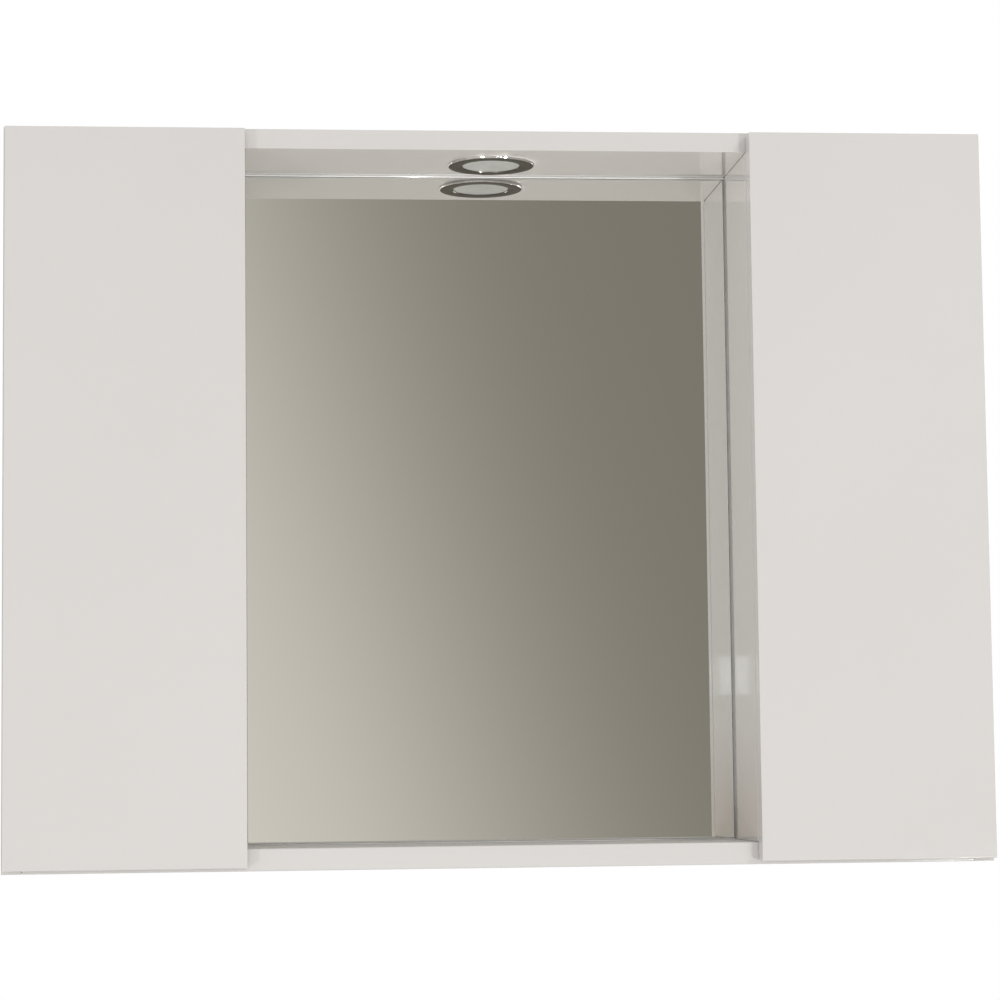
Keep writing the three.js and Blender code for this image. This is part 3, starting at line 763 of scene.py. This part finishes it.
def shade(tree, value, start, end, before, after):
    """A colour that runs smoothly from before to after while a value goes from start to end."""
    fade = tree.nodes.new("ShaderNodeMapRange")
    fade.interpolation_type = "SMOOTHSTEP"
    fade.inputs["From Min"].default_value = start
    fade.inputs["From Max"].default_value = end
    tree.links.new(value, fade.inputs["Value"])
    mix = tree.nodes.new("ShaderNodeMix")
    mix.data_type = "RGBA"
    factor, colour_a, colour_b, mixed = 0, 6, 7, 2    # where a colour mix has its sockets
    tree.links.new(fade.outputs["Result"], mix.inputs[factor])
    for socket, colour in ((colour_a, before), (colour_b, after)):
        if isinstance(colour, tuple):
            mix.inputs[socket].default_value = (*colour, 1.0)
        else:
            tree.links.new(colour, mix.inputs[socket])
    return mix.outputs[mixed]


def window(tree, *sides):
    """1 inside a rectangle of directions, 0 outside; a side is a value, its middle and its half width."""
    inside = []
    for value, middle, half in sides:
        offset = tree.nodes.new("ShaderNodeMath")
        offset.operation = "COMPARE"
        tree.links.new(value, offset.inputs[0])
        offset.inputs[1].default_value = middle
        offset.inputs[2].default_value = half
        inside.append(offset.outputs["Value"])
    both = tree.nodes.new("ShaderNodeMath")
    both.operation = "MULTIPLY"
    tree.links.new(inside[0], both.inputs[0])
    tree.links.new(inside[1], both.inputs[1])
    return both.outputs["Value"]


def room_seen_in_gloss(tree):
    """A dim room in front: its wall brighter on the left, a strip light far left, and a bright floor."""
    fade_axis = (7.03, 0.0, 2.5)
    wall_left, wall_right = (0.698, 0.665, 0.600), (0.268, 0.251, 0.208)
    wall_far_right, strip_light = (0.214, 0.200, 0.165), (1.15, 1.14, 1.11)
    above_eye, below_eye = (0.58, 0.555, 0.52), (0.44, 0.385, 0.33)
    floor_right, floor_left = (0.56, 0.53, 0.475), (1.08, 1.03, 0.95)
    place = tree.nodes.new("ShaderNodeTexCoord")
    split = tree.nodes.new("ShaderNodeSeparateXYZ")
    slope = tree.nodes.new("ShaderNodeVectorMath")
    slope.operation = "DOT_PRODUCT"
    slope.inputs[1].default_value = fade_axis
    tree.links.new(place.outputs["Generated"], split.inputs[0])
    tree.links.new(place.outputs["Generated"], slope.inputs[0])
    across, height = split.outputs["X"], split.outputs["Z"]
    wall = shade(tree, slope.outputs["Value"], -0.39, 1.44, wall_left, wall_right)
    wall = shade(tree, slope.outputs["Value"], 0.18, 1.77, wall, wall_far_right)
    far_left = shade(tree, height, 0.02, -0.02, above_eye, below_eye)
    strip = window(tree, (across, -0.1700, 0.0031), (height, 0.0305, 0.0064))
    far_left = shade(tree, strip, 0.0, 1.0, far_left, strip_light)
    wall = shade(tree, across, -0.06, -0.14, wall, far_left)
    ground = shade(tree, across, -0.02, -0.12, floor_right, floor_left)
    return shade(tree, height, -0.04, -0.16, wall, ground)


def build_world():
    """White behind the cabinet, an even fill for its surfaces and a dim room for its reflections."""
    world = bpy.data.worlds.new("studio")
    bpy.context.scene.world = world
    world.use_nodes = True
    tree = world.node_tree
    tree.nodes.clear()
    wire = tree.links.new
    paths = tree.nodes.new("ShaderNodeLightPath")
    room, fill, paper = (tree.nodes.new("ShaderNodeBackground") for _ in range(3))
    wire(room_seen_in_gloss(tree), room.inputs["Color"])
    fill.inputs["Color"].default_value = (1.0, 0.987, 0.983, 1.0)
    fill.inputs["Strength"].default_value = 0.645
    paper.inputs["Color"].default_value = (1.0, 1.0, 1.0, 1.0)
    by_gloss = tree.nodes.new("ShaderNodeMixShader")
    by_camera = tree.nodes.new("ShaderNodeMixShader")
    out = tree.nodes.new("ShaderNodeOutputWorld")
    wire(paths.outputs["Is Glossy Ray"], by_gloss.inputs[0])
    wire(fill.outputs[0], by_gloss.inputs[1])
    wire(room.outputs[0], by_gloss.inputs[2])
    wire(paths.outputs["Is Camera Ray"], by_camera.inputs[0])
    wire(by_gloss.outputs[0], by_camera.inputs[1])
    wire(paper.outputs[0], by_camera.inputs[2])
    wire(by_camera.outputs[0], out.inputs["Surface"])


def add_lamp(name, azimuth, height, size, power):
    """A square lamp aimed at the cabinet's middle, in degrees (0 in front, 90 right), metres and watts."""
    data = bpy.data.lights.new(name, "AREA")
    data.size = size
    data.energy = power
    data.color = (1.0, 0.985, 0.975)
    lamp = bpy.data.objects.new(name, data)
    angle, away = math.radians(azimuth), 2.6
    lamp.location = (away * math.sin(angle), -away * math.cos(angle), height)
    lamp.rotation_euler = (-lamp.location).to_track_quat("-Z", "Y").to_euler()
    bpy.context.scene.collection.objects.link(lamp)
    return lamp


def build_lights():
    """Soft lamps, two of them kept out of the mirror, and small ones whose glint one piece shows."""
    for name, azimuth, height, size, power in (
        ("lamp_left", -31, -0.90, 0.16, 5.7),
        ("lamp_right", 21, -0.64, 0.16, 10.0),
        ("lamp_above", 30, 1.20, 0.40, 7.4),
        ("bounce_front", 3, -1.20, 0.30, 1.0),
    ):
        add_lamp(name, azimuth, height, size, power)
    for name in ("lamp_above", "bounce_front"):
        bpy.data.objects[name].visible_glossy = False
    sparkle_height = -0.95
    for name, azimuth, size, power, seen_by in (
        ("sparkle_left", -27, 0.18, 110, "spot_ring"),
        ("sparkle_front", 13, 0.13, 6, "spot_ring"),
        ("sparkle_right", 35, 0.32, 420, "spot_ring"),
        ("sparkle_seal", 0.2, 0.10, 380, "mirror_seal_top"),
    ):
        sparkle = add_lamp(name, azimuth, sparkle_height, size, power)
        sparkle.visible_diffuse = False
        only = bpy.data.collections.new(f"{name}_only")
        only.objects.link(bpy.data.objects[seen_by])
        sparkle.light_linking.receiver_collection = only


def build_camera():
    """Just left of the middle and below it, looking slightly up and to the right."""
    eye = Vector((-0.227, -2.5416, -0.2249))
    yaw, pitch, roll = 0.0936, 0.0911, -0.0114
    data = bpy.data.cameras.new("camera")
    data.sensor_width = 36.0
    data.lens = 107.9
    camera = bpy.data.objects.new("camera", data)
    ahead = Vector((math.sin(yaw) * math.cos(pitch), math.cos(yaw) * math.cos(pitch), math.sin(pitch)))
    level = Vector((math.cos(yaw), -math.sin(yaw), 0.0))
    upright = level.cross(ahead)
    right = level * math.cos(roll) + upright * math.sin(roll)
    up = upright * math.cos(roll) - level * math.sin(roll)
    turn = Matrix((right, up, -ahead)).transposed().to_4x4()
    camera.matrix_world = Matrix.Translation(eye) @ turn
    bpy.context.scene.collection.objects.link(camera)
    bpy.context.scene.camera = camera


dress_case()
dress_fittings()
build_spot_ring()
build_spot_glass()
build_led_packages()
build_mirror_strips()
build_joint_lines_with_painted_shade()
build_shelf_pins()
build_cam_caps()
build_hinge_screws()
build_fitting_screws()
build_bumpers()
build_back_nails()
build_floor()
build_world()
build_lights()
build_camera()
bpy.context.scene.view_settings.view_transform = "Standard"
